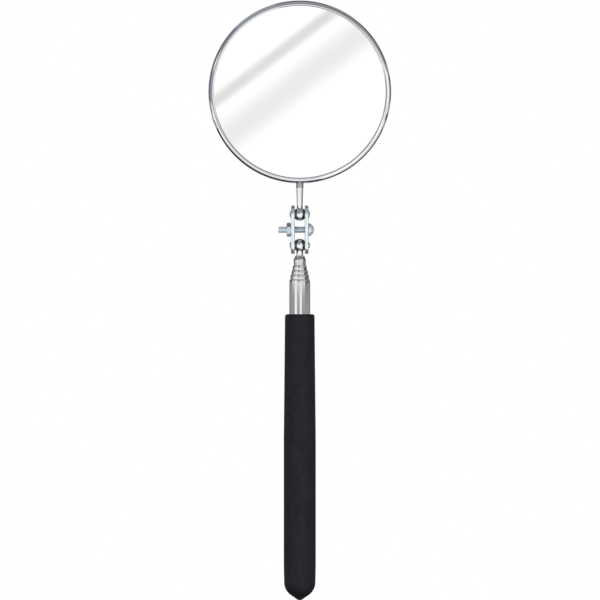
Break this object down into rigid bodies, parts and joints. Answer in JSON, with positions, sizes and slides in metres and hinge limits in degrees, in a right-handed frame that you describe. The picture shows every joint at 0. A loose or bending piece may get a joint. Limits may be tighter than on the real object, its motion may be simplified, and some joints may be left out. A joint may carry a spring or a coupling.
{
  "type": "telescoping inspection mirror",
  "caption": "Round inspection mirror on a telescoping handle, aimed by a pair of clamped ball joints, for seeing behind and under parts that can't be viewed directly.",
  "frame": {"origin": "on the handle's axis, in the middle of the grip's straight stretch", "axes": "+Z along the handle towards the mirror; the mirror faces -Y; the clamp screw's head is on +X and its nut on -X"},
  "size_m": [0.0826, 0.0144, 0.2712],
  "materials": {
    "grip_vinyl": "matte dip-moulded vinyl, very dark blue-black",
    "satin_nickel_tube": "satin nickel plate",
    "plug_plastic": "moulded black plastic",
    "spring_bronze": "spring bronze strip",
    "ball_chrome": "bright chrome plate",
    "plate_zinc": "bright zinc plate",
    "fastener_zinc": "bluish bright zinc plate",
    "stem_steel": "bright nickel-plated steel",
    "case_steel": "bright stainless steel, rolled rim",
    "pad_card": "plain fibre card",
    "mirror_face": "silvered float glass"
  },
  "bodies": {
    "handle": {"cushion_grip": "grip_vinyl", "outer_tube": "satin_nickel_tube", "butt_plug": "plug_plastic"},
    "stage_2": {"tube_2": "satin_nickel_tube", "friction_sleeve_2": "spring_bronze"},
    "stage_3": {"tube_3": "satin_nickel_tube", "friction_sleeve_3": "spring_bronze"},
    "stage_4": {"tube_4": "satin_nickel_tube", "friction_sleeve_4": "spring_bronze"},
    "stage_5": {"tube_5": "satin_nickel_tube", "friction_sleeve_5": "spring_bronze"},
    "ball_stud": {"lower_ball_stud": "ball_chrome"},
    "ball_below": {"lower_ball": "ball_chrome"},
    "clamp": {"clamp_plate_left": "plate_zinc", "clamp_plate_right": "plate_zinc", "clamp_nut": "fastener_zinc"},
    "screw": {"clamp_screw": "fastener_zinc"},
    "ball_above": {"upper_ball": "ball_chrome"},
    "stem": {"mirror_stem": "stem_steel"},
    "mirror_head": {"mirror_bracket": "stem_steel", "mirror_case": "case_steel", "backing_pad": "pad_card", "mirror_glass": "mirror_face"}
  },
  "joints": [
    {"name": "stage_2_slide", "type": "slide", "parent": "handle", "child": "stage_2", "axis": [0, 0, 1], "range_m": [0, 0.12]},
    {"name": "stage_3_slide", "type": "slide", "parent": "stage_2", "child": "stage_3", "axis": [0, 0, 1], "range_m": [0, 0.12]},
    {"name": "stage_4_slide", "type": "slide", "parent": "stage_3", "child": "stage_4", "axis": [0, 0, 1], "range_m": [0, 0.12]},
    {"name": "stage_5_slide", "type": "slide", "parent": "stage_4", "child": "stage_5", "axis": [0, 0, 1], "range_m": [0, 0.12]},
    {"name": "lower_spin", "type": "hinge", "parent": "stage_5", "child": "ball_stud", "pos_m": [0, 0, 0.1163], "axis": [0, 0, 1], "continuous": true},
    {"name": "lower_tilt", "type": "hinge", "parent": "ball_stud", "child": "ball_below", "pos_m": [0, 0, 0.1163], "axis": [0, 1, 0], "range_deg": [-9, 9]},
    {"name": "lower_swing", "type": "hinge", "parent": "ball_below", "child": "clamp", "pos_m": [0, 0, 0.1163], "axis": [1, 0, 0], "range_deg": [-105, 105]},
    {"name": "screw_turn", "type": "hinge", "parent": "clamp", "child": "screw", "pos_m": [0, 0, 0.1233], "axis": [1, 0, 0], "range_deg": [-90, 90]},
    {"name": "upper_swing", "type": "hinge", "parent": "clamp", "child": "ball_above", "pos_m": [0, 0, 0.1303], "axis": [-1, 0, 0], "range_deg": [-130, 130]},
    {"name": "upper_tilt", "type": "hinge", "parent": "ball_above", "child": "stem", "pos_m": [0, 0, 0.1303], "axis": [0, 1, 0], "range_deg": [-8, 8]},
    {"name": "upper_spin", "type": "hinge", "parent": "stem", "child": "mirror_head", "pos_m": [0, 0, 0.1303], "axis": [0, 0, 1], "continuous": true}
  ]
}
